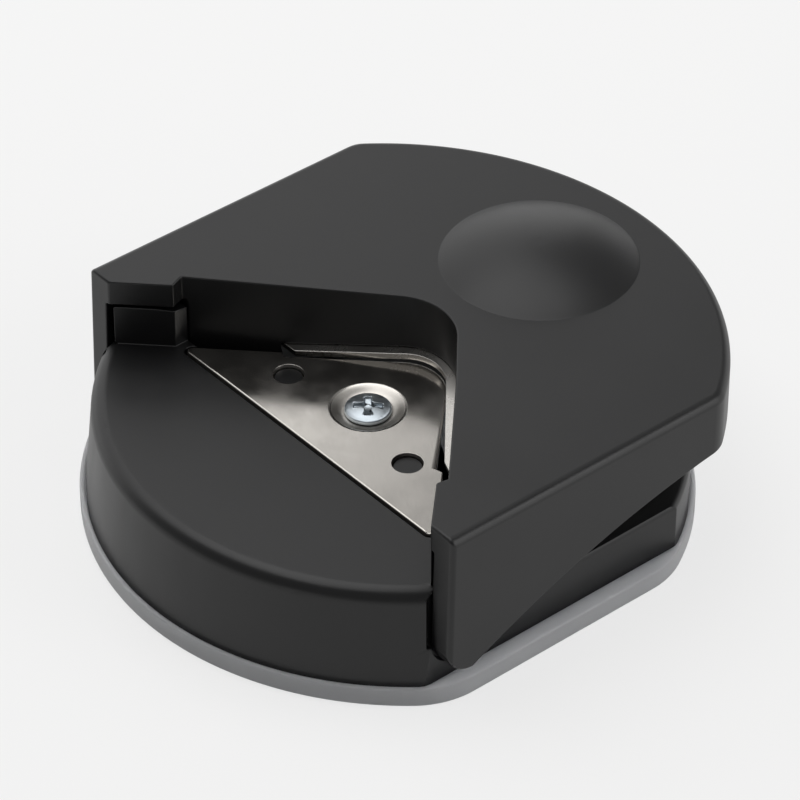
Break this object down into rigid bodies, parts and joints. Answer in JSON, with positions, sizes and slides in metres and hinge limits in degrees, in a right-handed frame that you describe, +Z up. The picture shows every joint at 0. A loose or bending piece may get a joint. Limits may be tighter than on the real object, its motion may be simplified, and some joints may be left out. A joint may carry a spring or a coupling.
{
  "type": "corner punch",
  "caption": "Desk corner punch: a hinged black lever with a thumb dome presses a V-shaped blade past a fixed steel die and rounds a paper corner; a tray below catches the chips.",
  "frame": {"origin": "on the table under the middle of the punch, in its plane of symmetry", "axes": "+Z up, +Y from the paper throat towards the round rear end, +X to the right seen from the throat"},
  "size_m": [0.0604, 0.0686, 0.0246],
  "materials": {
    "black_abs": "satin moulded black ABS",
    "stainless_sheet": "rolled stainless sheet, stamped",
    "zinc_plated_steel": "bright zinc plating",
    "spring_wire": "drawn spring wire",
    "grey_soft_plastic": "translucent grey soft plastic"
  },
  "bodies": {
    "base": {"base_housing": "black_abs", "die_plate": "stainless_sheet", "die_screw": "zinc_plated_steel", "return_spring": "spring_wire"},
    "lever": {"press_lever": "black_abs", "cutting_blade": "stainless_sheet", "blade_screws": "zinc_plated_steel"},
    "tray": {"chip_tray": "grey_soft_plastic"}
  },
  "joints": [
    {"name": "lever_press", "type": "hinge", "parent": "base", "child": "lever", "pos_m": [0, -0.01535, 0.0073], "axis": [-1, 0, 0], "range_deg": [0, 7], "stiffness_Nm_per_rad": 1.9, "springref_deg": -4.87, "deforming": ["return_spring"]},
    {"name": "tray_pull", "type": "slide", "parent": "base", "child": "tray", "axis": [0, 0, -1], "range_m": [0, 0.02]}
  ]
}
